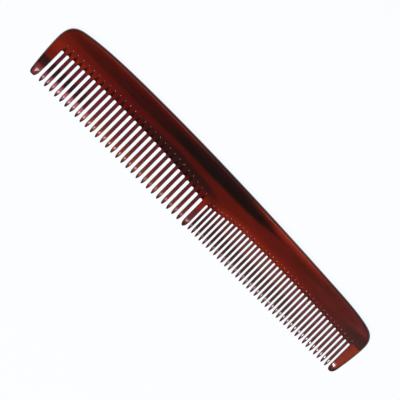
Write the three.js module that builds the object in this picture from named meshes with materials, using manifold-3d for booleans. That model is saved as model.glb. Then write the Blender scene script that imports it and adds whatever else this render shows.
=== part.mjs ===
// A dressing comb of cellulose acetate, lying flat on its lower face.
// Coarse teeth fill one half and fine teeth the other, with a thick divider tooth between
// them, a guard tooth at each end, and one curved back that holds them all.
//
// While it is built, x runs from the coarse end to the fine end, y from the line of the
// tooth tips to the back, and z from the lower face to the upper face. The group at the
// end of the file then brings the middle of the comb's footprint to the origin.
// All lengths are in millimetres.

import * as THREE from 'three';
import { mergeVertices } from 'three/addons/utils/BufferGeometryUtils.js';
import Module from 'manifold-3d';

// Overall size
const length = 190;
const height = 32.14;
const thickness = 4.5;
const middle = thickness / 2;
const edgeRadius = 2;
const edgeSteps = 4;
const outlineSteps = 10;
const beyond = 5; // how far cutting shapes run past the comb

// The outer sides of the two end guards stand here, from their tips up to footHeight.
const coarseFoot = 1.3;
const fineFoot = 188.2;
const footHeight = 2.9;

// The two rows of teeth. Both rows begin and end with a gap.
const coarse = { teeth: 28, firstGap: 6.24, pitch: 3.137, gap: 1.42 };
const fine = { teeth: 38, firstGap: 97.95, pitch: 2.265, gap: 0.94 };

// The tips. The divider tooth is the longest, and the rows draw back a little from it.
const coarseTips = curveThrough([[6, 0.64], [50, 0.45], [94, 0.25]]);
const fineTips = curveThrough([[98, 0.45], [121, 0.25], [143, 0.18], [165, 0.3], [184, 0.4]]);
const dividerTip = 0;
const coarseGuardTip = 0.75;
const fineGuardTip = 0.35;

// The roots of the gaps lie on two curves, which meet low at the divider tooth.
const coarseRoots = curveThrough([
  [6, 17.3], [25, 17.95], [44, 18.1], [63, 17.5], [81.5, 16.1], [94, 14.25],
]);
const fineRoots = curveThrough([
  [98, 13.9], [107, 15.3], [114, 16.4], [121, 16.65], [145, 16.6], [166, 15.95], [184, 14.85],
]);
const archHeight = 0.5; // of the rounded top of a gap
const archSteps = 6;

// How a tooth thins. Its faces stay parallel to taperStart, close in to bevelStart,
// and then fall faster towards the tip.
const taperStart = 13;
const bevelStart = 3.4;
const bevelHalfThickness = 1.3;
const tipHalfThickness = 0.55;
const bevelBend = 1.5; // 1 would be a straight fall
const bevelLevels = [2.4, 1.5, 0.75, 0];

// How a tooth narrows to its point, as a pointed arch with a small blunt end.
const tipLength = 4.05;
const tipLevels = [0, 0.4, 0.7, 0.88, 1]; // shares of tipLength
const bluntEnd = 0.15; // share of the tooth's width
const edgeChamfer = 0.2;

// Two fine teeth share one fork, whose neck sits in a notch under the back.
const shoulder = 0.3; // how far the neck is narrower than the fork, on each side
const neckPlay = 0.02;
const neckRise = 0.9; // above the root of the gap inside the fork
const neckOverlap = 0.4; // how far the neck's shape runs down into its two teeth
const neckInset = 0.15; // and sideways into them
const neckChamfer = 0.2;

const wasm = await Module();
wasm.setup();

/** A function of x that gives a smooth curve's height through the given points. */
function curveThrough(points) {
  const spline = new THREE.CubicInterpolant(points.map((p) => p[0]), points.map((p) => p[1]), 1);
  return (x) => spline.evaluate(x)[0];
}

/** The solid of a closed geometry. */
function solidOf(geometry) {
  const bare = geometry.clone();
  bare.deleteAttribute('normal');
  bare.deleteAttribute('uv');
  const merged = mergeVertices(bare);
  const mesh = new wasm.Mesh({
    numProp: 3,
    vertProperties: new Float32Array(merged.attributes.position.array),
    triVerts: new Uint32Array(merged.index.array),
  });
  return new wasm.Manifold(mesh);
}

/** The geometry of a solid. */
function geometryOf(solid) {
  const mesh = solid.getMesh();
  const geometry = new THREE.BufferGeometry();
  geometry.setAttribute('position', new THREE.BufferAttribute(mesh.vertProperties, 3));
  geometry.setIndex(new THREE.BufferAttribute(mesh.triVerts, 1));
  geometry.computeVertexNormals();
  return geometry;
}

/** A plan shape as a solid with straight sides, between two heights. */
function prism(shape, low, high) {
  const geometry = new THREE.ExtrudeGeometry(shape, {
    depth: high - low,
    bevelEnabled: false,
    curveSegments: archSteps,
  });
  return solidOf(geometry.translate(0, 0, low));
}

/** The piece of the uncut comb that stands inside a plan shape. */
function sawnOut(uncut, shape) {
  return geometryOf(uncut.intersect(prism(shape, -beyond, thickness + beyond)));
}

/** Half the thickness of the teeth at height y. */
function halfThicknessAt(y) {
  if (y >= taperStart) return middle;
  if (y >= bevelStart) {
    return THREE.MathUtils.mapLinear(y, bevelStart, taperStart, bevelHalfThickness, middle);
  }
  const fall = Math.pow(1 - y / bevelStart, bevelBend);
  return THREE.MathUtils.lerp(bevelHalfThickness, tipHalfThickness, fall);
}

/** A tooth's width, as a share of its full width, part of the way along its pointed end. */
function narrowingAt(share) {
  return Math.max(bluntEnd, Math.pow(1 - share ** 3, 0.6));
}

/** The outer edge of the comb: up the coarse end, along the back and down the fine end. */
function outline() {
  const shape = new THREE.Shape();
  shape.moveTo(coarseFoot, -beyond);
  shape.lineTo(coarseFoot, footHeight);
  shape.quadraticCurveTo(0, 13, 0, 20);
  shape.bezierCurveTo(0, 26.2, 2.1, 28.6, 6.5, 29.7);
  shape.bezierCurveTo(17, 31.9, 34, height, 52, height);
  shape.bezierCurveTo(87, height, 125, 30.5, 165.6, 27.94);
  shape.bezierCurveTo(172, 27.54, 181.3, 26.75, 185.5, 25.2);
  shape.bezierCurveTo(188.3, 24.2, length, 22.1, length, 18.3);
  shape.quadraticCurveTo(length, 13, fineFoot, footHeight);
  shape.lineTo(fineFoot, -beyond);
  return shape;
}

/** The side view of the comb, run along its whole length: parallel faces above, thin tips below. */
function wedge() {
  const heights = [taperStart, bevelStart, ...bevelLevels];
  const above = middle + beyond;
  const side = new THREE.Shape();
  side.moveTo(height + beyond, -above);
  side.lineTo(height + beyond, above);
  side.lineTo(taperStart, above);
  for (const y of heights) side.lineTo(y, halfThicknessAt(y));
  side.lineTo(-beyond, tipHalfThickness);
  side.lineTo(-beyond, -tipHalfThickness);
  for (const y of heights.toReversed()) side.lineTo(y, -halfThicknessAt(y));
  side.lineTo(taperStart, -above);
  const geometry = new THREE.ExtrudeGeometry(side, { depth: length + 2 * beyond, bevelEnabled: false });
  const yzx = new THREE.Matrix4().makeBasis(
    new THREE.Vector3(0, 1, 0),
    new THREE.Vector3(0, 0, 1),
    new THREE.Vector3(1, 0, 0),
  );
  return solidOf(geometry.applyMatrix4(yzx).translate(-beyond, 0, middle));
}

/** The uncut comb, with its back and ends rounded and its lower half ground to a wedge. */
function blank() {
  const rounded = new THREE.ExtrudeGeometry(outline(), {
    depth: thickness - 2 * edgeRadius,
    curveSegments: outlineSteps,
    bevelThickness: edgeRadius,
    bevelSize: edgeRadius,
    bevelOffset: -edgeRadius,
    bevelSegments: edgeSteps,
  });
  return solidOf(rounded.translate(0, 0, edgeRadius)).intersect(wedge());
}

/** The gaps of one row: where each stands, how high it reaches, and where its round top springs from. */
function gapsOf(row, rootsAt) {
  return Array.from({ length: row.teeth + 1 }, (_, i) => {
    const centre = row.firstGap + i * row.pitch;
    const top = rootsAt(centre);
    const half = row.gap / 2;
    return { centre, top, spring: top - archHeight, left: centre - half, right: centre + half, half };
  });
}

const coarseGaps = gapsOf(coarse, coarseRoots);
const fineGaps = gapsOf(fine, fineRoots);
const lastCoarseGap = coarseGaps.at(-1);
const lastFineGap = fineGaps.at(-1);
const forkGaps = fineGaps.filter((_, i) => i % 2 === 1); // those inside a fork
const betweenForks = fineGaps.filter((_, i) => i % 2 === 0);

/** The height at which a tooth between two gaps meets the back. */
function landing(left, right) {
  return Math.min(left.spring, right.spring);
}

/** The height of a fork's neck. */
function neckTop(inside) {
  return inside.top + neckRise;
}

/** The rounded top of one gap, as part of the underside of the back. */
function archOver(shape, gap) {
  shape.lineTo(gap.left, gap.spring);
  shape.absellipse(gap.centre, gap.spring, gap.half, archHeight, Math.PI, 0, true);
  shape.lineTo(gap.right, gap.spring);
}

/** The back, cut off below along the stepped line where the teeth meet it. */
function backPlan() {
  const shape = new THREE.Shape();
  const plainGaps = [...coarseGaps, fineGaps[0]];
  shape.moveTo(-beyond, height + beyond);
  shape.lineTo(-beyond, coarseGaps[0].spring);
  for (const [i, gap] of plainGaps.entries()) {
    archOver(shape, gap);
    const next = plainGaps[i + 1];
    if (next) {
      shape.lineTo(gap.right, landing(gap, next));
      shape.lineTo(next.left, landing(gap, next));
    }
  }
  for (const [i, inside] of forkGaps.entries()) {
    const before = betweenForks[i];
    const after = betweenForks[i + 1];
    shape.lineTo(before.right + shoulder, before.spring);
    shape.lineTo(before.right + shoulder, neckTop(inside));
    shape.lineTo(after.left - shoulder, neckTop(inside));
    shape.lineTo(after.left - shoulder, after.spring);
    archOver(shape, after);
  }
  shape.lineTo(length + beyond, lastFineGap.spring);
  shape.lineTo(length + beyond, height + beyond);
  return shape;
}

/** The guard at the coarse end, with a blunt tip. Its outer side is the comb's outer edge. */
function coarseGuardPlan() {
  const inner = coarseGaps[0];
  const shape = new THREE.Shape();
  shape.moveTo(-beyond, inner.spring);
  shape.lineTo(-beyond, footHeight);
  shape.lineTo(coarseFoot, footHeight);
  shape.quadraticCurveTo(1.5, coarseGuardTip, 2.8, coarseGuardTip);
  shape.lineTo(4, coarseGuardTip);
  shape.quadraticCurveTo(5.2, coarseGuardTip, 5.36, 4.1);
  shape.lineTo(inner.left, 8.5);
  shape.lineTo(inner.left, inner.spring);
  return shape;
}

/** The guard at the fine end, with a rounder tip. */
function fineGuardPlan() {
  const inner = lastFineGap;
  const shape = new THREE.Shape();
  shape.moveTo(length + beyond, inner.spring);
  shape.lineTo(inner.right, inner.spring);
  shape.lineTo(inner.right, 3);
  shape.bezierCurveTo(184.5, 1.2, 185, fineGuardTip, 185.9, fineGuardTip);
  shape.bezierCurveTo(187.15, fineGuardTip, 187.75, 1.4, fineFoot, footHeight);
  shape.lineTo(length + beyond, footHeight);
  return shape;
}

/** One level of a tooth: a rectangle with its corners cut, in the plane y. */
function ringAt(x, y, halfWidth, halfThickness) {
  const cut = Math.min(edgeChamfer, 0.4 * halfWidth);
  const w = halfWidth - cut;
  const t = halfThickness - cut;
  const corners = [
    [halfWidth, -t], [halfWidth, t], [w, halfThickness], [-w, halfThickness],
    [-halfWidth, t], [-halfWidth, -t], [-w, -halfThickness], [w, -halfThickness],
  ];
  return corners.map(([across, up]) => [x + across, y, middle + up]);
}

/** A closed solid skinned over a stack of rings of equal length. */
function skin(rings) {
  const around = rings[0].length;
  const last = (rings.length - 1) * around;
  const index = [];
  for (let level = 0; level < rings.length - 1; level += 1) {
    for (let i = 0; i < around; i += 1) {
      const a = level * around + i;
      const b = level * around + ((i + 1) % around);
      index.push(a, b, b + around, a, b + around, a + around);
    }
  }
  for (let i = 1; i < around - 1; i += 1) {
    index.push(0, i + 1, i);
    index.push(last, last + i, last + i + 1);
  }
  const geometry = new THREE.BufferGeometry();
  geometry.setAttribute('position', new THREE.Float32BufferAttribute(rings.flat(2), 3));
  geometry.setIndex(index);
  geometry.computeVertexNormals();
  return geometry;
}

/** A tooth that stands at x, from its tip up to the height where it meets the back. */
function tooth(x, width, tip, top) {
  const rings = [
    ringAt(x, top, width / 2, middle),
    ringAt(x, taperStart, width / 2, middle),
  ];
  for (const share of tipLevels) {
    const y = tip + tipLength * (1 - share);
    rings.push(ringAt(x, y, (width / 2) * narrowingAt(share), halfThicknessAt(y)));
  }
  return skin(rings);
}

/** Two fine teeth and the neck that joins them, about the middle of the gap between them. */
function fork(before, inside, after) {
  const width = fine.pitch - fine.gap;
  const reach = inside.half + width - shoulder - neckPlay;
  const low = Math.min(before.spring, inside.spring, after.spring) - neckOverlap;
  const neck = new THREE.Shape();
  neck.moveTo(-reach, low);
  neck.lineTo(-inside.half - neckInset, low);
  neck.lineTo(-inside.half - neckInset, inside.spring);
  neck.lineTo(-inside.half + neckChamfer, inside.top);
  neck.lineTo(inside.half - neckChamfer, inside.top);
  neck.lineTo(inside.half + neckInset, inside.spring);
  neck.lineTo(inside.half + neckInset, low);
  neck.lineTo(reach, low);
  neck.lineTo(reach, neckTop(inside));
  neck.lineTo(-reach, neckTop(inside));
  const half = fine.pitch / 2;
  const leftTooth = solidOf(tooth(-half, width, fineTips(inside.centre - half), before.spring));
  const rightTooth = solidOf(tooth(half, width, fineTips(inside.centre + half), after.spring));
  return geometryOf(leftTooth.add(rightTooth).add(prism(neck, 0, thickness)));
}

/** Polished acetate in one colour. */
function acetate(color) {
  return new THREE.MeshStandardMaterial({ color, roughness: 0.15, metalness: 0 });
}

const comb = new THREE.Group();
comb.position.set(-length / 2, -height / 2, 0);

function addPiece(name, geometry, color, x = 0) {
  const mesh = new THREE.Mesh(geometry, acetate(color));
  mesh.name = name;
  mesh.position.x = x;
  comb.add(mesh);
}

function twoDigits(number) {
  return String(number).padStart(2, '0');
}

const uncut = blank();
addPiece('comb_back', sawnOut(uncut, backPlan()), 0x4a120c);
addPiece('coarse_end_guard', sawnOut(uncut, coarseGuardPlan()), 0x7a2410);
addPiece('fine_end_guard', sawnOut(uncut, fineGuardPlan()), 0x8a3014);

for (let i = 0; i < coarse.teeth; i += 1) {
  const top = landing(coarseGaps[i], coarseGaps[i + 1]);
  const x = coarse.firstGap + (i + 0.5) * coarse.pitch;
  const geometry = tooth(0, coarse.pitch - coarse.gap, coarseTips(x), top);
  addPiece(`coarse_tooth_${twoDigits(i + 1)}`, geometry, 0x641c14, x);
}

const dividerWidth = fineGaps[0].left - lastCoarseGap.right;
const dividerTop = landing(lastCoarseGap, fineGaps[0]);
const dividerMiddle = (fineGaps[0].left + lastCoarseGap.right) / 2;
addPiece('divider_tooth', tooth(0, dividerWidth, dividerTip, dividerTop), 0x6e1d10, dividerMiddle);

for (const [i, inside] of forkGaps.entries()) {
  const name = `fine_teeth_${twoDigits(2 * i + 1)}_${twoDigits(2 * i + 2)}`;
  addPiece(name, fork(betweenForks[i], inside, betweenForks[i + 1]), 0x521018, inside.centre);
}

export default comb;
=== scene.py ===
"""A polished tortoiseshell comb, lying flat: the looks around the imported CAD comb.

The comb's surface is worked out as one skin in millimetres, then cut into one piece for each
CAD node. Plan coordinates are those of the comb itself: x from the coarse end to the fine end,
y from the line of the tooth tips to the back, and z from the middle of the thickness.
The lower half of the skin is the mirror image of the upper half.
"""

import math

import bpy
import numpy as np
from mathutils.geometry import tessellate_polygon
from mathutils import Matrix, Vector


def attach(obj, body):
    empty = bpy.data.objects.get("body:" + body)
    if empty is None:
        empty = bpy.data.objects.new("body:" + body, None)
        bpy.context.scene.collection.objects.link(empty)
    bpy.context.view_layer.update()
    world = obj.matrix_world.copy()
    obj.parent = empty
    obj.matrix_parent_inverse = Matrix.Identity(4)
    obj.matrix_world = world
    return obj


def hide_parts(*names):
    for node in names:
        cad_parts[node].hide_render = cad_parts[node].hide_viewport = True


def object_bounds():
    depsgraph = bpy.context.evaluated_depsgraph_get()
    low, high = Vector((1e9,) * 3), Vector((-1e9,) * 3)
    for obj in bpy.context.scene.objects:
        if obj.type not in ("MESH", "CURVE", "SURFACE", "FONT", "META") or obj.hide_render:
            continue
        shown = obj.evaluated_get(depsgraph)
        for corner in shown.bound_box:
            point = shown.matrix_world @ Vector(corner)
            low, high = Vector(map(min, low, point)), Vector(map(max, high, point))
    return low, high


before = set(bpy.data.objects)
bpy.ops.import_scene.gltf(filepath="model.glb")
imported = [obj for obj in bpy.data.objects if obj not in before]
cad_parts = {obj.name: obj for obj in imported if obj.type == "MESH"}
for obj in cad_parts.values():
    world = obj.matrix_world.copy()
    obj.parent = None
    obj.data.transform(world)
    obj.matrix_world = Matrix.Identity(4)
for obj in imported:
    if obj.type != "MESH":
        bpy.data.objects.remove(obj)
cad_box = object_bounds()

# ---------------------------------------------------------------- sizes, in millimetres

MM = 0.001
LENGTH, HEIGHT, THICKNESS = [(high - low) / MM for low, high in zip(*cad_box)]
MIDDLE = THICKNESS / 2

# The two rows of teeth. Both rows begin and end with a gap.
COARSE = {"teeth": 28, "first_gap": 6.24, "pitch": 3.137, "gap": 1.42}
FINE = {"teeth": 38, "first_gap": 97.95, "pitch": 2.265, "gap": 0.94}

# The tips. The divider tooth is the longest, and the rows draw back a little from it.
COARSE_TIPS = [(6, 0.64), (50, 0.45), (94, 0.25)]
FINE_TIPS = [(98, 0.45), (121, 0.25), (143, 0.18), (165, 0.3), (184, 0.4)]
DIVIDER_TIP = 0.0

# The roots of the gaps
COARSE_ROOTS = [(6, 17.3), (25, 17.95), (44, 18.1), (63, 17.5), (81.5, 16.1), (94, 14.25)]
FINE_ROOTS = [
    (98, 13.9), (107, 15.3), (114, 16.4), (121, 16.65), (145, 16.6), (166, 15.95), (184, 14.85),
]
ROW_ENDS = [COARSE_ROOTS[-1][0], FINE_ROOTS[0][0]]
ARCH_HEIGHT = 0.5  # of the round top of a gap
SEAM_BELOW_ROOT = 1.3  # where the teeth meet the back

# The groove above each gap: how far it runs up the face, and its depth where it leaves the gap
COARSE_GROOVE = 3.5
COARSE_GROOVE_DEPTH = 1.47
FINE_GROOVE = 1.85
FINE_GROOVE_DEPTH = 0.63
GROOVE_FLOOR = 0.5  # 0 would be a round floor, 1 a straight one
GROOVE_POINT = 2.3  # 1 would be a plain triangle
ABOVE_GROOVE = 0.9  # from the end of a groove to the flat face

# The rounded edges
EDGE_RADIUS = 2.0  # of the comb's outer edge
TOOTH_EDGE = 0.4  # the small rounding along a gap, as a share of half a tooth's width
WIDEST_EDGE = 0.95  # the same, at a tip
DEEPEST_EDGE = 0.85  # as a share of half the thickness
EDGE_TILT = math.radians(52)  # how steep the small rounding gets where it meets the wall

# How a tooth thins towards its tip
TAPER_START = 13.0
TAPER_END = 3.4
TAPER_DROP = 0.95  # what half the thickness has lost at TAPER_END
TAPER_BEND = 1.15  # 1 would be a straight taper
BEVEL_STARTS = [(94, 4.5), (98, 3.95), (135, 3.95), (172, 4.35)]  # heights where the tips' bevel starts
GUARD_BEVEL_RISE = 0.95  # how much higher it starts on a guard
BEVEL_DROP = 0.8  # what it would take off half the thickness at height 0
BEVEL_BEND = 2  # 1 would be a flat bevel
CROWN_GROWTH = 1.6  # how soon the flat of a tooth gives way to its rounded edges
TIP_LENGTH = 4.05  # of the pointed arch that ends a tooth
TIP_FULLNESS = 3  # how late the sides of the arch turn in
TIP_BLUNTNESS = 0.6  # 1 would be a sharp point
TIP_ROUNDING = 0.7  # how far above its end a tip's thickness closes
NEARLY_CLOSED = 0.999  # how far a tip narrows and closes before its last row of points

# How finely the surface is divided
EDGE_STEPS = [0, 0.06, 0.22, 0.48, 0.74, 0.93, 1]  # from the top of a wall to the flat face, as shares
ARC_STEEPNESS = math.tan(EDGE_TILT / 2)  # drop of the small rounding, for each mm of its reach
ARC_LOW = math.cos(EDGE_TILT)
EDGE_SINES = [(1 - t) * math.sin(EDGE_TILT) for t in EDGE_STEPS]
EDGE_RISE = [(math.cos(math.asin(sine)) - ARC_LOW) / (1 - ARC_LOW) for sine in EDGE_SINES]
FACE_STEPS = [0.2, 0.6, 1]  # from there to the middle of the tooth
BACK_ANGLES = np.linspace(0, math.pi / 2, 10)
BACK_STEPS = [1 - math.cos(a) for a in BACK_ANGLES[:-1]] + [1.0]
BACK_RISE = [math.sin(a) for a in BACK_ANGLES]
WALL_STEPS = [0, 0.5]  # from the middle of the thickness to the top of a wall
SIDE_COUNT = 8  # up each side of a gap's surroundings
SIDE_CROWDING = 1.15  # above 1, these steps grow towards the top
TOP_COUNT = 8  # across the top of the surroundings
STRAIGHT_COUNT = 3  # up the straight part of a gap's wall
RAY_COUNT = 2 * SIDE_COUNT + TOP_COUNT
ARCH_COUNT = RAY_COUNT // 2 - STRAIGHT_COUNT
BELOW_SEAM = 0.4  # from the seam down to a tooth's next row
BLADE_COUNT = 8  # rows from there to the shoulder of the tip
POINT_COUNT = 18  # steps from the shoulder to the end
SAME_DIGITS = 5  # points that agree to this many places are one point
ON_MIDDLE = 1e-6  # a point this low is its own mirror image
CORNER_CLEARANCE = 0.1  # a corner's curve starts this far above the rows below it


def smooth(t):
    """A share from 0 to 1, eased at both ends."""
    return t * t * (3 - 2 * t)


def mix(a, b, t):
    """The value or point that lies a share t of the way from a to b."""
    return a + (b - a) * t


# ---------------------------------------------------------------- curves in plan


def curve_through(points):
    """A function of x that runs smoothly through the given points, and level past its ends."""
    xs, ys = np.array(points, float).T
    slopes = np.gradient(ys, xs)

    def height(x):
        x = min(max(x, xs[0]), xs[-1])
        i = int(np.clip(np.searchsorted(xs, x) - 1, 0, len(xs) - 2))
        width = xs[i + 1] - xs[i]
        t = (x - xs[i]) / width
        start = (1 + 2 * t) * (1 - t) ** 2 * ys[i] + t * (1 - t) ** 2 * width * slopes[i]
        end = t**2 * (3 - 2 * t) * ys[i + 1] + t**2 * (t - 1) * width * slopes[i + 1]
        return float(start + end)

    return height


def bezier(*points, steps=24):
    """Points along a quadratic or cubic curve."""
    result = []
    for t in np.linspace(0, 1, steps + 1):
        level = [np.array(p, float) for p in points]
        while len(level) > 1:
            level = [mix(a, b, t) for a, b in zip(level, level[1:])]
        result.append(level[0])
    return np.array(result)


def across(*curves):
    """A function that gives the x of a side at a height y, from curves that run up it."""
    points = np.vstack(curves)
    order = np.argsort(points[:, 1], kind="stable")
    xs, ys = points[order, 0], points[order, 1]
    return lambda y: float(np.interp(y, ys, xs))


coarse_root = curve_through(COARSE_ROOTS)
fine_root = curve_through(FINE_ROOTS)
coarse_tip = curve_through(COARSE_TIPS)
fine_tip = curve_through(FINE_TIPS)


def between_rows(x, coarse_value, fine_value):
    """One value on the coarse row, another on the fine row, and a straight change under the divider."""
    return float(np.interp(x, ROW_ENDS, [coarse_value, fine_value]))


def root(x):
    """The line that the roots of the gaps follow."""
    if x <= ROW_ENDS[0]:
        return coarse_root(x)
    if x >= ROW_ENDS[1]:
        return fine_root(x)
    return between_rows(x, COARSE_ROOTS[-1][1], FINE_ROOTS[0][1])


def seam(x):
    """Where the teeth meet the back."""
    return root(x) - SEAM_BELOW_ROOT


def groove_line(x):
    """A line just above the grooves."""
    return root(x) + between_rows(x, COARSE_GROOVE, FINE_GROOVE) + ABOVE_GROOVE


# The sides of the two guards, from the tip up. The outer sides belong to the comb's outer edge.
COARSE_GUARD_TIP = 0.75
FINE_GUARD_TIP = 0.35
FIRST_GAP_LEFT = COARSE["first_gap"] - COARSE["gap"] / 2
LAST_GAP_RIGHT = FINE["first_gap"] + FINE["teeth"] * FINE["pitch"] + FINE["gap"] / 2
coarse_outer_x = across(
    bezier((2.9, COARSE_GUARD_TIP), (1.55, COARSE_GUARD_TIP), (1.3, 2.9)),
    bezier((1.3, 2.9), (0, 13), (0, 20))[1:],
    [(0, HEIGHT)],
)
coarse_inner_x = across(
    bezier((3.9, COARSE_GUARD_TIP), (5.2, COARSE_GUARD_TIP), (5.36, 4.1)),
    [(FIRST_GAP_LEFT, 8.5), (FIRST_GAP_LEFT, HEIGHT)],
)
fine_outer_x = across(
    bezier((186.0, FINE_GUARD_TIP), (187.15, FINE_GUARD_TIP), (187.75, 1.4), (188.2, 2.9)),
    bezier((188.2, 2.9), (LENGTH, 13), (LENGTH, 18.3))[1:],
    [(LENGTH, HEIGHT)],
)
fine_inner_x = across(
    bezier((185.8, FINE_GUARD_TIP), (185, FINE_GUARD_TIP), (184.5, 1.2), (LAST_GAP_RIGHT, 3)),
    [(LAST_GAP_RIGHT, HEIGHT)],
)


def back_edge(coarse_y, fine_y):
    """The outer edge round the back, from a height on the coarse end to one on the fine end."""
    coarse_corner = bezier((0, 20), (0, 26.2), (2.1, 28.6), (6.5, 29.7), steps=40)
    fine_corner = bezier((185.5, 25.2), (188.3, 24.2), (LENGTH, 22.1), (LENGTH, 18.3), steps=30)
    return np.vstack([
        [(coarse_outer_x(coarse_y), coarse_y)],
        coarse_corner[coarse_corner[:, 1] > coarse_y + CORNER_CLEARANCE],
        bezier((6.5, 29.7), (17, 31.9), (34, HEIGHT), (52, HEIGHT))[1:],
        bezier((52, HEIGHT), (87, HEIGHT), (125, 30.5), (165.6, 27.94), steps=48)[1:],
        bezier((165.6, 27.94), (172, 27.54), (181.3, 26.75), (185.5, 25.2))[1:],
        fine_corner[fine_corner[:, 1] > fine_y + CORNER_CLEARANCE][1:],
        [(fine_outer_x(fine_y), fine_y)],
    ])


def half_thickness(y):
    """Half the thickness of the comb at height y, before its edges are rounded and its tips bevelled."""
    taper = max(0.0, (TAPER_START - y) / (TAPER_START - TAPER_END))
    return MIDDLE - TAPER_DROP * taper**TAPER_BEND


def bevel_drop(y, start):
    """What the bevel of a tip takes off half its thickness at height y."""
    return BEVEL_DROP * max(0.0, (start - y) / start) ** BEVEL_BEND


# ---------------------------------------------------------------- the skin


class Skin:
    """The upper half of the comb's surface, as faces that each belong to a piece.

    The edge depth is how far a point lies inside the comb's outer edge, for points near it.
    """

    def __init__(self):
        self.points = []
        self.index = {}
        self.edge_depth = {}
        self.faces = []
        self.owners = []
        self.caps = []

    def point(self, x, y, z):
        """The number of the point at a place, which is new if there was none."""
        key = tuple(round(value, SAME_DIGITS) for value in (x, y, z))
        if key not in self.index:
            self.index[key] = len(self.points)
            self.points.append((x, y, z))
        return self.index[key]

    def face(self, corners, owner):
        """A face from its corners. Corners that fall together count once."""
        kept = [c for i, c in enumerate(corners) if c != corners[i - 1]]
        if len(set(kept)) >= 3:
            self.faces.append(kept)
            self.owners.append(owner)

    def grid(self, rows, owner, flip=False):
        """Faces between rows that have the same number of points."""
        rows = [[self.point(*p) for p in row] for row in rows]
        for low, high in zip(rows, rows[1:]):
            for i in range(len(low) - 1):
                corners = [low[i], low[i + 1], high[i + 1], high[i]]
                self.face(corners[::-1] if flip else corners, owner)

    def cap(self, row, owner, facing):
        """The hidden face where a piece meets its neighbour, under a row of surface points."""
        self.caps.append(([self.point(*p) for p in row], owner, facing))


skin = Skin()


def walled(row):
    """A row of surface points that begins at the top of a wall, with the wall below it."""
    x, y, z = row[0]
    return [(x, y, z * share) for share in WALL_STEPS] + row


def side_line(x_at, x):
    """Points up the border of a gap's surroundings, from the seam to the groove line."""
    low, high = seam(x), groove_line(x)
    straight = (SEAM_BELOW_ROOT - ARCH_HEIGHT) / (high - low)
    shares = [straight * j / STRAIGHT_COUNT for j in range(STRAIGHT_COUNT)]
    rest = np.linspace(0, 1, SIDE_COUNT - STRAIGHT_COUNT + 1)
    shares += [mix(straight, 1, t) for t in rest**SIDE_CROWDING]
    heights = [float(mix(low, high, share)) for share in shares]
    return [(x_at(y), y) for y in heights]


def gap_rays(gap, left_line, right_line):
    """Three rings round the root of a gap, its wall, its groove's crease and its surroundings.

    The shares say how far up the arch each of their points lies.
    """
    centre, half, edge = gap["centre"], gap["half"], gap["edge"]
    spring = root(centre) - ARCH_HEIGHT
    wall, crease, shares = [], [], []
    for j in range(RAY_COUNT + 1):
        side = -1 if j <= RAY_COUNT // 2 else 1
        k = min(j, RAY_COUNT - j)
        if k <= STRAIGHT_COUNT:
            y = mix(seam(centre + side * half), spring, k / STRAIGHT_COUNT)
            wall.append((centre + side * half, y))
            crease.append((centre + side * (half + edge), y))
            shares.append(0.0)
            continue
        share = (k - STRAIGHT_COUNT) / ARCH_COUNT
        angle = share * math.pi / 2
        reach = (half + edge) * (1 - share**GROOVE_POINT)
        wall.append((centre + side * half * math.cos(angle), spring + ARCH_HEIGHT * math.sin(angle)))
        crease.append((centre + side * reach, spring + (gap["groove"] + ARCH_HEIGHT) * share))
        shares.append(share)
    top_xs = np.linspace(left_line[-1][0], right_line[-1][0], TOP_COUNT + 1)[1:-1]
    border = left_line + [(float(x), groove_line(float(x))) for x in top_xs] + right_line[::-1]
    return wall, crease, border, shares


def add_gap(gap, left_line, right_line):
    """The back's surface round the root of one gap. Returns its two seam rows and its top line."""
    wall, crease, border, shares = gap_rays(gap, left_line, right_line)
    rays = []
    for at_wall, at_crease, at_border, share in zip(wall, crease, border, shares):
        ramp = smooth(share)
        drop = mix(ARC_STEEPNESS * gap["edge"], gap["groove_depth"], ramp)
        ray = []
        for t, rise in zip(EDGE_STEPS, EDGE_RISE):
            x, y = [mix(a, b, t) for a, b in zip(at_wall, at_crease)]
            ray.append((x, y, half_thickness(y) - drop * (1 - mix(rise, t, GROOVE_FLOOR * ramp))))
        for t in FACE_STEPS:
            x, y = [mix(a, b, t) for a, b in zip(at_crease, at_border)]
            ray.append((x, y, half_thickness(y)))
        rays.append(walled(ray))
    skin.grid(rays, "comb_back", flip=True)
    return rays[0], rays[-1], border[SIDE_COUNT : SIDE_COUNT + TOP_COUNT + 1]


def note_edge_depth(row, steps, reach):
    """Remembers how far inside the comb's outer edge each point of a row lies."""
    for point, step in zip(walled(row), [0] * len(WALL_STEPS) + list(steps)):
        skin.edge_depth[skin.point(*point)] = reach * step


def small_edge(tooth_width):
    """The rounding along a gap, as a function that gives its steps, rises, reach and drop."""

    def edge(width, full, pointed):
        widest = WIDEST_EDGE * width / 2
        reach = min(mix(TOOTH_EDGE * tooth_width / 2, widest, pointed), widest)
        return EDGE_STEPS, EDGE_RISE, reach, min(reach * ARC_STEEPNESS, DEEPEST_EDGE * full)

    return edge


def round_reach(width):
    """How far the wide round of the outer edge reaches into a tooth."""
    return min(EDGE_RADIUS, width / 2)


def round_drop(full):
    """How far that round drops, for half a thickness."""
    return full * EDGE_RADIUS / MIDDLE


def round_edge(width, full, pointed):
    """The wide round of the outer edge: its steps, rises, reach and drop. A tip doesn't change it."""
    return BACK_STEPS, BACK_RISE, round_reach(width), round_drop(full)


def half_row(at, inwards, y, full, middle, edge, width, pointed):
    """Surface points from one side of a tooth to its middle, at height y."""
    steps, rises, reach, drop = edge(width, full, pointed)
    row = [(at + inwards * reach * t, y, full - drop * (1 - rise)) for t, rise in zip(steps, rises)]
    if edge is round_edge:
        note_edge_depth(row, steps, reach)
    else:
        crease = at + inwards * reach
        row += [(mix(crease, middle, t), y, full) for t in FACE_STEPS]
    return walled(row)


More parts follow.
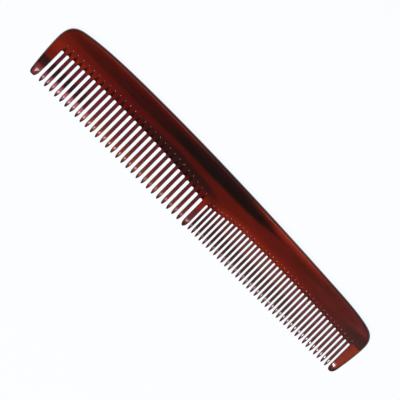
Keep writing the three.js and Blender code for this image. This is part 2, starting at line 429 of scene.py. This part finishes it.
def add_blade(owner, sides, edges, tip, top_row):
    """A tooth from the row of points that it shares with the back down to its tip."""
    left_x, right_x = sides
    left_edge, right_edge = edges
    highest = min(p[1] for p in top_row) - BELOW_SEAM
    shoulder = tip + TIP_LENGTH
    bevel_start = float(np.interp(left_x(shoulder), *zip(*BEVEL_STARTS)))
    if round_edge in edges:
        bevel_start += GUARD_BEVEL_RISE
    levels = list(np.linspace(highest, shoulder, BLADE_COUNT))
    turns = np.linspace(0, math.pi / 2, POINT_COUNT + 1)[1:-1]
    levels += [shoulder - TIP_LENGTH * math.sin(turn) for turn in turns]
    rows = [top_row]
    for y in map(float, levels):
        left, right = left_x(y), right_x(y)
        width = right - left
        closing = min(max(0.0, (tip + TIP_ROUNDING - y) / TIP_ROUNDING), NEARLY_CLOSED)
        full = (half_thickness(y) - bevel_drop(y, bevel_start)) * math.sqrt(1 - closing**2)
        pointed = smooth(min(1.0, max(0.0, CROWN_GROWTH * (shoulder - y) / TIP_LENGTH)))
        middle = (left + right) / 2
        if left_edge is round_edge:
            middle = left + round_reach(width)
        if right_edge is round_edge:
            middle = right - round_reach(width)
        left_half = half_row(left, 1, y, full, middle, left_edge, width, pointed)
        right_half = half_row(right, -1, y, full, middle, right_edge, width, pointed)
        rows.append(left_half + right_half[::-1][1:])
    rows.append([(x, tip, 0.0) for x, _, _ in rows[-1]])
    skin.grid(rows, owner, flip=True)
    skin.cap(top_row, owner, 1)
    skin.cap(top_row, "comb_back", -1)


def tooth_sides(centre, width, tip):
    """The sides of a tooth that narrows to a pointed arch."""

    def half_width(y):
        share = min(max((tip + TIP_LENGTH - y) / TIP_LENGTH, 0.0), NEARLY_CLOSED)
        return width / 2 * (1 - share**TIP_FULLNESS) ** TIP_BLUNTNESS

    return (lambda y: centre - half_width(y)), (lambda y: centre + half_width(y))


# ---------------------------------------------------------------- the comb, from end to end


def row_gaps(row, groove, groove_depth):
    """The gaps of one row of teeth."""
    edge = TOOTH_EDGE * (row["pitch"] - row["gap"]) / 2
    gaps = []
    for i in range(row["teeth"] + 1):
        gaps.append({
            "centre": row["first_gap"] + i * row["pitch"],
            "half": row["gap"] / 2,
            "groove": groove,
            "groove_depth": groove_depth,
            "edge": edge,
        })
    return gaps


coarse_gaps = row_gaps(COARSE, COARSE_GROOVE, COARSE_GROOVE_DEPTH)
fine_gaps = row_gaps(FINE, FINE_GROOVE, FINE_GROOVE_DEPTH)
gaps = coarse_gaps + fine_gaps


def right_of(gap):
    """Where the tooth after a gap begins."""
    return gap["centre"] + gap["half"]


def left_of(gap):
    """Where the tooth before a gap ends."""
    return gap["centre"] - gap["half"]


def add_gaps():
    """All the gaps. Returns the seam rows on both sides of each, and the line above the grooves."""
    middles = [(right_of(a) + left_of(b)) / 2 for a, b in zip(gaps, gaps[1:])]
    lines = [side_line(lambda y: coarse_outer_x(y) + EDGE_RADIUS, EDGE_RADIUS)]
    lines += [side_line(lambda y, x=x: x, x) for x in middles]
    lines.append(side_line(lambda y: fine_outer_x(y) - EDGE_RADIUS, LENGTH - EDGE_RADIUS))
    seams, above = [], []
    for gap, left_line, right_line in zip(gaps, lines, lines[1:]):
        left_row, right_row, top = add_gap(gap, left_line, right_line)
        seams.append((left_row, right_row))
        above += top[:-1]
    above.append(lines[-1][-1])
    return seams, above, lines[0], lines[-1]


def edge_row(x, y, inwards):
    """Points across the round outer edge, from its wall to the flat face."""
    full = half_thickness(y)
    drop = round_drop(full)
    row = []
    for t, rise in zip(BACK_STEPS, BACK_RISE):
        step = EDGE_RADIUS * t
        row.append((x + inwards[0] * step, y + inwards[1] * step, full - drop * (1 - rise)))
    note_edge_depth(row, BACK_STEPS, EDGE_RADIUS)
    return walled(row)


def add_outer_edge(left_line, right_line):
    """The round outer edge of the back. Returns its inner line and its two seam rows."""
    rows = [edge_row(x - EDGE_RADIUS, y, (1, 0)) for x, y in left_line]
    points = back_edge(left_line[-1][1], right_line[-1][1])
    for before, here, after in zip(points, points[1:], points[2:]):
        along = (after - before) / np.linalg.norm(after - before)
        rows.append(edge_row(float(here[0]), float(here[1]), (float(along[1]), float(-along[0]))))
    rows += [edge_row(x + EDGE_RADIUS, y, (-1, 0)) for x, y in right_line[::-1]]
    skin.grid(rows, "comb_back")
    inner = [row[-1][:2] for row in rows[len(left_line) - 1 : len(rows) - len(right_line) + 1]]
    return inner, rows[0], rows[-1]


def add_flat_face(inner, above):
    """The flat face of the back, between its outer edge and the grooves."""
    outline = above + inner[::-1][1:-1]
    for triangle in tessellate_polygon([[(x, y, 0) for x, y in outline]]):
        skin.face([skin.point(*outline[i], MIDDLE) for i in triangle], "comb_back")


def fine_owner(i):
    """The node of the fine tooth after fine gap i. Two neighbours share one."""
    first = i - i % 2 + 1
    return f"fine_teeth_{first:02d}_{first + 1:02d}"


def add_teeth(seams, coarse_end_row, fine_end_row):
    """The guards, the divider and the two rows of teeth."""
    coarse_width = COARSE["pitch"] - COARSE["gap"]
    fine_width = FINE["pitch"] - FINE["gap"]
    coarse_edge, fine_edge = small_edge(coarse_width), small_edge(fine_width)
    add_blade(
        "coarse_end_guard",
        (coarse_outer_x, coarse_inner_x),
        (round_edge, coarse_edge),
        COARSE_GUARD_TIP,
        coarse_end_row + seams[0][0][::-1][1:],
    )
    for i, (before, after) in enumerate(zip(gaps, gaps[1:])):
        centre = (right_of(before) + left_of(after)) / 2
        top_row = seams[i][1] + seams[i + 1][0][::-1][1:]
        if i < COARSE["teeth"]:
            owner, width, edges = f"coarse_tooth_{i + 1:02d}", coarse_width, (coarse_edge,) * 2
            tip = coarse_tip(centre)
        elif i == COARSE["teeth"]:
            width = left_of(after) - right_of(before)
            owner, edges, tip = "divider_tooth", (coarse_edge, fine_edge), DIVIDER_TIP
        else:
            owner = fine_owner(i - COARSE["teeth"] - 1)
            width, edges, tip = fine_width, (fine_edge,) * 2, fine_tip(centre)
        add_blade(owner, tooth_sides(centre, width, tip), edges, tip, top_row)
    add_blade(
        "fine_end_guard",
        (fine_inner_x, fine_outer_x),
        (fine_edge, round_edge),
        FINE_GUARD_TIP,
        seams[-1][1] + fine_end_row[::-1][1:],
    )


def add_comb():
    """The whole skin."""
    seams, above, left_line, right_line = add_gaps()
    inner, coarse_end_row, fine_end_row = add_outer_edge(left_line, right_line)
    add_flat_face(inner, above)
    add_teeth(seams, coarse_end_row, fine_end_row)


# ---------------------------------------------------------------- from the skin to pieces


def both_halves():
    """All points, the twin of each in the lower half and its source, and all faces with their owners."""
    points = list(skin.points)
    twin = []
    source = list(range(len(points)))
    for i, (x, y, z) in enumerate(skin.points):
        if z < ON_MIDDLE:
            twin.append(i)
            continue
        twin.append(len(points))
        points.append((x, y, -z))
        source.append(i)
    lower = [[twin[i] for i in reversed(face)] for face in skin.faces]
    return np.array(points), twin, source, skin.faces + lower, skin.owners * 2


def smooth_normals(points, faces):
    """The normal at each point, from the faces round it by their area."""
    triangles = np.array([(f[0], f[i], f[i + 1]) for f in faces for i in range(1, len(f) - 1)])
    a, b, c = (points[triangles[:, k]] for k in range(3))
    areas = np.cross(b - a, c - a)
    normals = np.zeros_like(points)
    for k in range(3):
        np.add.at(normals, triangles[:, k], areas)
    return normals / np.linalg.norm(normals, axis=1, keepdims=True)


def faces_by_owner(twin, faces, owners):
    """The faces of each piece. A cap comes with its own normal, any other face with None."""
    by_owner = {}
    for face, owner in zip(faces, owners):
        by_owner.setdefault(owner, []).append((face, None))
    for row, owner, facing in skin.caps:
        ring = row + [twin[i] for i in reversed(row) if twin[i] != i]
        by_owner[owner].append((ring if facing > 0 else ring[::-1], (0.0, float(facing), 0.0)))
    return by_owner


def make_piece(owner, owned, placed, normals, source):
    """The mesh object of one piece, from its faces."""
    used = sorted({i for face, _ in owned for i in face})
    order = {i: k for k, i in enumerate(used)}
    mesh = bpy.data.meshes.new(f"acetate_{owner}")
    mesh.from_pydata(placed[used].tolist(), [], [[order[i] for i in face] for face, _ in owned])
    mesh.polygons.foreach_set("use_smooth", [True] * len(mesh.polygons))
    corner_normals = []
    for face, cap_normal in owned:
        corner_normals += [cap_normal] * len(face) if cap_normal else normals[face].tolist()
    mesh.normals_split_custom_set(corner_normals)
    depths = mesh.attributes.new("edge_depth", "FLOAT", "POINT")
    depths.data.foreach_set("value", [skin.edge_depth.get(source[i], EDGE_RADIUS) for i in used])
    piece = bpy.data.objects.new(f"acetate_{owner}", mesh)
    bpy.context.scene.collection.objects.link(piece)
    return piece


def make_pieces():
    """A piece for each CAD node, by the node's name."""
    points, twin, source, faces, owners = both_halves()
    normals = smooth_normals(points, faces)
    placed = (points + (-LENGTH / 2, -HEIGHT / 2, MIDDLE)) * MM
    owned_faces = faces_by_owner(twin, faces, owners)
    return {owner: make_piece(owner, owned, placed, normals, source) for owner, owned in owned_faces.items()}


# ---------------------------------------------------------------- the acetate's colour

DRIFT = 1.6  # how far noise moves the streaks up and down, in millimetres
MIX_FACTOR, MIX_UNDER, MIX_OVER, MIX_RESULT = 0, 6, 7, 2  # the colour sockets of a Mix node


def srgb(red, green, blue):
    """A shader colour from values of 0 to 255."""
    shares = [value / 255 for value in (red, green, blue)]
    return tuple(s / 12.92 if s <= 0.04045 else ((s + 0.055) / 1.055) ** 2.4 for s in shares) + (1.0,)


class Paint:
    """Shader nodes that lay colours over each other, in the comb's own millimetres."""

    def __init__(self, material):
        material.use_nodes = True
        self.tree = material.node_tree
        self.shader = self.tree.nodes["Principled BSDF"]
        place = self.node("ShaderNodeTexCoord").outputs["Object"]
        self.place = self.vector("MULTIPLY_ADD", place, (1 / MM,) * 3, (LENGTH / 2, HEIGHT / 2, 0))
        self.x, self.y, self.z = self.split(self.place)
        drift = self.math("MULTIPLY", self.noise(5, 3.1, stretch=5), DRIFT)
        self.wavy_y = self.math("ADD", self.y, drift)
        self.root_line = self.height_line(COARSE_ROOTS + FINE_ROOTS)
        self.below_root = self.math("SUBTRACT", self.root_line, self.wavy_y)
        self.depth = self.node("ShaderNodeAttribute", attribute_name="edge_depth").outputs["Fac"]
        self.colour = None

    def node(self, kind, **settings):
        """A new node with some of its properties set."""
        node = self.tree.nodes.new(kind)
        for name, value in settings.items():
            setattr(node, name, value)
        return node

    def feed(self, socket, value):
        """Sets an input to a number or colour, or links it to another node's output."""
        if isinstance(value, bpy.types.NodeSocket):
            self.tree.links.new(value, socket)
        else:
            socket.default_value = value

    def math(self, operation, *values):
        """The result of a sum on numbers or outputs."""
        node = self.node("ShaderNodeMath", operation=operation)
        for socket, value in zip(node.inputs, values):
            self.feed(socket, value)
        return node.outputs[0]

    def vector(self, operation, *values):
        """The same for vectors."""
        node = self.node("ShaderNodeVectorMath", operation=operation)
        for socket, value in zip(node.inputs, values):
            self.feed(socket, value)
        return node.outputs["Vector"]

    def split(self, vector):
        """The x, y and z of a vector."""
        node = self.node("ShaderNodeSeparateXYZ")
        self.feed(node.inputs[0], vector)
        return node.outputs

    def ramp(self, value, low, high):
        """Rises smoothly from 0 to 1 as the value goes from low to high."""
        node = self.node("ShaderNodeMapRange", interpolation_type="SMOOTHSTEP")
        for name, given in (("Value", value), ("From Min", low), ("From Max", high)):
            self.feed(node.inputs[name], given)
        return node.outputs[0]

    def noise(self, size, seed, detail=2.0, stretch=1.0):
        """Soft noise round 0. Its lumps are about size mm, and longer along the comb by stretch."""
        scale = (1 / (size * stretch), 1 / size, 1 / size)
        node = self.node("ShaderNodeTexNoise")
        self.feed(node.inputs["Vector"], self.vector("MULTIPLY_ADD", self.place, scale, (seed,) * 3))
        node.inputs["Scale"].default_value = 1.0
        node.inputs["Detail"].default_value = detail
        return self.math("SUBTRACT", node.outputs["Fac"], 0.5)

    def line(self, points, full):
        """A value from 0 to full that changes along the comb, from its values at a few x."""
        node = self.node("ShaderNodeFloatCurve")
        curve = node.mapping.curves[0]
        shares = [(x / LENGTH, value / full) for x, value in points]
        curve.points[0].location = (0.0, shares[0][1])
        curve.points[1].location = (1.0, shares[-1][1])
        for x, value in shares:
            if 0 < x < 1:
                curve.points.new(x, value)
        for point in curve.points:
            point.handle_type = "AUTO_CLAMPED"
        node.mapping.update()
        self.feed(node.inputs["Value"], self.math("DIVIDE", self.x, LENGTH))
        return self.math("MULTIPLY", node.outputs[0], full)

    def height_line(self, points):
        """A line of heights in millimetres."""
        return self.line(points, HEIGHT)

    def along(self, stops):
        """A colour that changes along the comb."""
        node = self.node("ShaderNodeValToRGB")
        ramp = node.color_ramp
        while len(ramp.elements) < len(stops):
            ramp.elements.new(0.5)
        for element, (x, colour) in zip(ramp.elements, stops):
            element.position = x / LENGTH
            element.color = srgb(*colour)
        self.feed(node.inputs[0], self.math("DIVIDE", self.x, LENGTH))
        return node.outputs["Color"]

    def lay(self, colour, *masks):
        """Lays a colour over what is there, as far as the masks together say."""
        mask = masks[0]
        for other in masks[1:]:
            mask = self.math("MULTIPLY", mask, other)
        node = self.node("ShaderNodeMix", data_type="RGBA")
        self.feed(node.inputs[MIX_FACTOR], mask)
        self.feed(node.inputs[MIX_UNDER], self.colour)
        self.feed(node.inputs[MIX_OVER], colour)
        self.colour = node.outputs[MIX_RESULT]

    def above(self, height, soft):
        """A mask from 0 below a height to 1 above it, which changes over soft mm on either side."""
        low, high = self.math("SUBTRACT", height, soft), self.math("ADD", height, soft)
        return self.ramp(self.wavy_y, low, high)

    def streak(self, colour, bottom, top, strength, soft_bottom=0.5, soft_top=0.5):
        """Lays a colour between two heights or lines along the comb, as strong as a third line."""
        over = self.math("SUBTRACT", 1.0, self.above(top, soft_top))
        self.lay(colour, self.above(bottom, soft_bottom), over, self.line(strength, 1.0))


def paint_sheet(paint):
    """The red-brown of the whole sheet, lighter and more orange near the roots."""
    paint.colour = paint.along([
        (0, (114, 30, 16)), (20, (98, 23, 16)), (48, (84, 19, 18)), (85, (82, 20, 16)),
        (112, (98, 26, 17)), (150, (96, 29, 22)), (172, (92, 36, 32)), (190, (92, 40, 38)),
    ])
    paint.streak(
        srgb(134, 36, 22),
        paint.math("SUBTRACT", paint.root_line, 2.5),
        paint.math("ADD", paint.root_line, 2.8),
        [(0, 0.8), (12, 0.95), (24, 0.7), (45, 0), (98, 0), (106, 0.9), (130, 0.9), (150, 0.5), (165, 0)],
        soft_bottom=1.5, soft_top=2.5,
    )


def paint_long_streak(paint):
    """The dark streak under the back edge, purple above it, and the orange edge past its end."""
    bottom = paint.height_line([
        (0, 24.5), (35, 24), (55, 24.3), (75, 24.5), (95, 24.1), (115, 24.3), (134, 25.2), (190, 25.5),
    ])
    top = paint.height_line([
        (0, 27.6), (15, 28.3), (30, 28.9), (75, 29.1), (95, 29.3), (115, 28.3), (125, 27.3), (134, 25.8),
        (190, 25.5),
    ])
    strength = [
        (0, 0.3), (15, 0.45), (30, 0.5), (50, 0.62), (62, 0.72), (75, 0.93), (110, 0.95), (124, 0.8),
        (134, 0.2), (140, 0),
    ]
    paint.streak(srgb(24, 18, 14), bottom, top, strength, soft_bottom=0.7, soft_top=1.2)
    paint.streak(
        srgb(42, 20, 22), 28, HEIGHT,
        [(0, 0), (70, 0), (82, 0.85), (106, 0.85), (118, 0), (150, 0), (168, 0.4), (190, 0.3)],
        soft_bottom=1.0,
    )
    paint.streak(
        srgb(158, 42, 26),
        paint.height_line([(0, 27), (120, 27.2), (134, 27), (146, 26.2), (160, 25), (190, 25)]),
        paint.height_line([(0, 30), (120, 30.2), (134, 30), (146, 29.2), (160, 28), (190, 28)]),
        [(0, 0), (122, 0), (132, 0.8), (146, 0.6), (156, 0.2), (164, 0), (190, 0)],
        soft_bottom=1.2,
    )


def paint_patches(paint):
    """A dark patch over the roots of the coarse teeth, and three smaller ones on the fine half."""
    paint.streak(
        srgb(38, 22, 19),
        paint.height_line([(0, 17), (60, 16.8), (80, 16.7), (92, 17.5), (106, 18.1), (190, 17.5)]),
        paint.height_line([
            (0, 21), (50, 21.1), (62, 22), (77, 22), (88, 21), (98, 19.7), (106, 18.5), (190, 17.5),
        ]),
        [(0, 0), (42, 0.0), (54, 0.5), (66, 0.7), (76, 0.8), (88, 0.8), (97, 0.5), (106, 0)],
        soft_bottom=0.9, soft_top=0.6,
    )
    paint.streak(
        srgb(64, 30, 14), 23.1, 26.1,
        [(0, 0), (136, 0), (146, 0.5), (160, 0.3), (172, 0)],
        soft_bottom=1.0, soft_top=0.8,
    )
    paint.streak(
        srgb(66, 42, 38), 16.1, 20.9,
        [(0, 0), (166, 0), (182, 0.75), (190, 0.9)],
        soft_bottom=0.4, soft_top=0.8,
    )
    paint.streak(
        srgb(112, 46, 52), 21.6, 24.2,
        [(0, 0), (178, 0), (184, 0.8), (187, 0.8), (190, 0)],
        soft_bottom=0.7, soft_top=0.9,
    )


def paint_teeth(paint):
    """The teeth are thinner, so they are painted redder, with a magenta cast, as a glow of the light that
    passes through them.
    """
    teeth = paint.ramp(paint.below_root, -0.6, 1.0)
    past_coarse_guard = paint.ramp(paint.x, 4.9, 5.5)
    before_fine_guard = paint.ramp(paint.x, 184.9, 184.5)
    colour = paint.along([
        (0, (92, 34, 44)), (30, (100, 36, 42)), (60, (102, 38, 44)), (94, (96, 36, 38)),
        (99, (86, 34, 34)), (108, (92, 42, 42)), (124, (110, 58, 56)), (190, (108, 56, 58)),
    ])
    # A painted glow of light through the thin teeth, laid over all but the guards.
    paint.lay(colour, teeth, past_coarse_guard, before_fine_guard)


def paint_coarse_patches(paint):
    """Orange low on the coarse teeth, and a dark patch across their guard and the first of them."""
    paint.streak(
        srgb(128, 52, 26), -2, 7.0,
        [(0, 0), (26, 0), (36, 0.8), (58, 0.7), (92, 0.35), (97, 0.3), (99, 0), (190, 0)],
        soft_top=2.5,
    )
    paint.streak(
        srgb(42, 20, 22), 6.4, 11.1,
        [(0, 0.9), (20, 0.85), (29, 0.6), (36, 0)],
        soft_bottom=0.9, soft_top=0.8,
    )


def paint_fine_patch(paint):
    """The middle of the fine teeth is dark."""
    strength = [
        (0, 0), (97, 0), (98.2, 0.5), (104, 0.5), (112, 0.68), (144, 0.62), (152, 0.58), (162, 0.35),
        (184, 0.25), (186, 0),
    ]
    paint.streak(srgb(34, 20, 25), 3.1, 10.0, strength, soft_bottom=0.8, soft_top=1.8)


def paint_divider(paint):
    """The orange tongue that runs down the divider tooth."""
    paint.streak(
        srgb(134, 34, 14), 9.0, 15.8,
        [(0, 0), (94.2, 0), (95.0, 0.85), (97.0, 0.85), (97.7, 0), (190, 0)],
        soft_bottom=1.2, soft_top=1.4,
    )


def paint_tip_highlight(paint):
    """A painted pink highlight towards the tips of the first coarse teeth, round their glints."""
    # Painted pink highlight round the glints above the tips.
    paint.streak(
        srgb(196, 116, 124), 3.0, 5.6,
        [(0, 0), (5, 0.1), (12, 0.3), (18, 0.6), (26, 0.6), (34, 0.3), (40, 0), (190, 0)],
        soft_bottom=1.0, soft_top=1.0,
    )


def paint_guards(paint):
    """The guards: orange at the fine end, a painted glow of light through the thin guard; pink towards the
    coarse end's tip, a painted glow round its glint.
    """
    orange = paint.along([(0, (130, 48, 34)), (184, (120, 46, 38)), (190, (150, 56, 28))])
    # Painted glow of light through the thin guard at the fine end.
    paint.lay(orange, paint.ramp(paint.x, 184.5, 185.3), paint.ramp(paint.wavy_y, 16.5, 15.1))
    # Painted pink glow round the glint near the coarse guard's tip.
    paint.lay(srgb(122, 50, 55), paint.ramp(paint.x, 5.6, 5.0), paint.ramp(paint.wavy_y, 6.7, 5.0))


def paint_grooves(paint):
    """Painted shade inside the grooves above the gaps, darker where they are deeper."""
    from_middle = paint.math("ABSOLUTE", paint.math("SUBTRACT", paint.z, MIDDLE))
    groove_shade = paint.ramp(paint.math("SUBTRACT", from_middle, MIDDLE), -0.05, -0.45)
    in_back = paint.ramp(paint.below_root, 0.6, -0.2)
    inside_edge = paint.ramp(paint.depth, 1.9, 2.0)
    # Painted shade in the grooves, darker the deeper the groove.
    paint.lay(srgb(26, 12, 14), groove_shade, in_back, inside_edge, 0.75)


def paint_tips(paint):
    """Painted shade on the tips, where their bevels turn away from the light, with more of it on the guard
    at the fine end.
    """
    top = paint.height_line([(0, 1.9), (184.4, 1.9), (185.6, 3.0), (190, 3.0)])
    # Painted shade on each tip, below the height line above.
    paint.lay(srgb(44, 26, 32), paint.ramp(paint.y, top, paint.math("SUBTRACT", top, 0.8)), 0.85)


def paint_outer_edge(paint):
    """The round outer edge: painted shade on its outer part, and a painted orange glow where light gathers
    inside it.
    """
    # Painted shade over the outer 0.8 mm of the round.
    paint.lay(srgb(20, 10, 10), paint.ramp(paint.depth, 0.8, 0.45), 0.9)
    # Less of that painted shade right at the wall, which shows red-brown.
    paint.lay(srgb(78, 22, 18), paint.ramp(paint.depth, 0.25, 0.05), 0.8)
    # How strong the painted orange glow is along the comb.
    strength = paint.line([
        (0, 0), (10, 0.1), (30, 0.4), (60, 0.4), (80, 0.3), (90, 0.1), (104, 0.1), (118, 0.5), (124, 1),
        (138, 0.95), (150, 0.6), (160, 0.25), (180, 0.1), (190, 0),
    ], 1.0)
    rise, fall = paint.ramp(paint.depth, 0.8, 1.3), paint.ramp(paint.depth, 1.9, 1.4)
    paint.lay(srgb(158, 68, 50), rise, fall, strength)


def finish_surface(paint):
    """Clouding over the laid colours, and a polish that is a little uneven."""
    small_clouds = paint.math("MULTIPLY", paint.noise(0.6, 1.3, stretch=3), 0.4)
    clouds = paint.math("ADD", paint.noise(2.2, 7.7, detail=3, stretch=4), small_clouds)
    tone = paint.node("ShaderNodeHueSaturation")
    paint.feed(tone.inputs["Value"], paint.math("MULTIPLY_ADD", clouds, 0.5, 1.0))
    paint.feed(tone.inputs["Color"], paint.colour)
    bump = paint.node("ShaderNodeBump")
    bump.inputs["Strength"].default_value = 0.15
    bump.inputs["Distance"].default_value = 0.02 * MM
    paint.feed(bump.inputs["Height"], paint.noise(1.2, 9.9, detail=4))
    roughness = paint.math("MULTIPLY_ADD", paint.noise(3, 5.5, detail=4), 0.08, 0.14)
    sockets = paint.shader.inputs
    sockets["IOR"].default_value = 1.49
    paint.feed(sockets["Base Color"], tone.outputs[0])
    paint.feed(sockets["Roughness"], roughness)
    paint.feed(sockets["Normal"], bump.outputs[0])


def acetate():
    """Polished tortoiseshell acetate: dark streaks that run along a red-brown sheet, with painted light and
    shade.
    """
    material = bpy.data.materials.new("tortoiseshell_acetate")
    paint = Paint(material)
    paint_sheet(paint)
    paint_long_streak(paint)
    paint_patches(paint)
    paint_teeth(paint)
    paint_coarse_patches(paint)
    paint_fine_patch(paint)
    paint_divider(paint)
    paint_tip_highlight(paint)
    paint_guards(paint)
    paint_grooves(paint)
    paint_tips(paint)
    paint_outer_edge(paint)
    finish_surface(paint)
    return material


# ---------------------------------------------------------------- floor, light and camera, in metres

FLOOR_REACH = 3.0  # from the comb to the sides of the floor
FLOOR_BELOW = 0.05 * MM  # the floor lies a hair below the comb, so the two never share a plane
TOOTH_SIDE = {"azimuth": -90, "tilt": 26}  # where the lights on the side of the teeth stand
BACK_SIDE = {"azimuth": 90, "tilt": 44}
VIEW_WIDTH = 0.17416
VIEW_CENTRE = (-0.00103, -0.00268)
VIEW_TURN = 44.83  # degrees
CAMERA_HEIGHT = 2.0


def add_floor():
    """A plain pale floor that glows a little, so the gaps between the teeth stay light."""
    mesh = bpy.data.meshes.new("floor")
    corners = [(FLOOR_REACH * x, FLOOR_REACH * y, 0) for x, y in ((-1, -1), (1, -1), (1, 1), (-1, 1))]
    mesh.from_pydata(corners, [], [(0, 1, 2, 3)])
    floor = bpy.data.objects.new("floor", mesh)
    floor.location.z = -FLOOR_BELOW
    bpy.context.scene.collection.objects.link(floor)
    material = bpy.data.materials.new("pale_floor")
    material.use_nodes = True
    shader = material.node_tree.nodes["Principled BSDF"]
    shader.inputs["Base Color"].default_value = (0.04, 0.04, 0.04, 1)
    shader.inputs["Roughness"].default_value = 0.9
    shader.inputs["Specular IOR Level"].default_value = 0
    shader.inputs["Emission Color"].default_value = srgb(247, 249, 252)
    shader.inputs["Emission Strength"].default_value = 1.0
    mesh.materials.append(material)


def add_light(name, azimuth, tilt, distance, size, power, shift=0.0, glint=False):
    """A flat light that faces the comb. A glint only shows in the polish, any other light never does.

    The azimuth is from +X and the tilt from straight above. The shift moves it along the comb.
    """
    data = bpy.data.lights.new(name, "AREA")
    data.shape = "RECTANGLE"
    data.size, data.size_y = size
    data.energy = power
    light = bpy.data.objects.new(name, data)
    light.visible_diffuse = not glint
    light.visible_glossy = glint
    turn, lean = math.radians(azimuth), math.radians(tilt)
    light.location = (
        distance * math.sin(lean) * math.cos(turn) + shift,
        distance * math.sin(lean) * math.sin(turn),
        distance * math.cos(lean),
    )
    light.rotation_euler = (0, lean, turn)
    bpy.context.scene.collection.objects.link(light)


def add_lights():
    """A key light, and glints on the tips and the outer edge.

    Each has its own distance, since one light in the plane of another dims it.
    """
    world = bpy.data.worlds.new("studio")
    world.use_nodes = True
    world.node_tree.nodes["Background"].inputs["Color"].default_value = (0.02, 0.02, 0.022, 1)
    bpy.context.scene.world = world
    small = (0.13, 0.08)
    add_light("key", **TOOTH_SIDE, distance=1.2, size=(0.36, 0.72), power=15)
    add_light("tip_glint", **TOOTH_SIDE, distance=1.0, size=(0.13, 0.6), power=1.5, glint=True)
    add_light("coarse_glint", **TOOTH_SIDE, distance=0.96, size=small, power=0.55, shift=-0.11, glint=True)
    add_light("fine_glint", **TOOTH_SIDE, distance=0.93, size=small, power=1.2, shift=0.12, glint=True)
    add_light("edge_glint", **BACK_SIDE, distance=1.0, size=(0.4, 0.5), power=0.25, glint=True)


def add_camera():
    """Straight above the comb, with its coarse end at the top left."""
    data = bpy.data.cameras.new("camera")
    data.sensor_width = 36
    data.lens = data.sensor_width * CAMERA_HEIGHT / VIEW_WIDTH
    data.clip_end = 10
    camera = bpy.data.objects.new("camera", data)
    camera.location = (*VIEW_CENTRE, CAMERA_HEIGHT)
    camera.rotation_euler = (0, 0, math.radians(VIEW_TURN))
    bpy.context.scene.collection.objects.link(camera)
    bpy.context.scene.camera = camera


# ---------------------------------------------------------------- all together


add_comb()
finish = acetate()
for owner, piece in make_pieces().items():
    piece.data.materials.append(finish)
    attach(piece, "root")
    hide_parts(owner)
add_floor()
add_lights()
add_camera()
bpy.context.scene.view_settings.view_transform = "Standard"
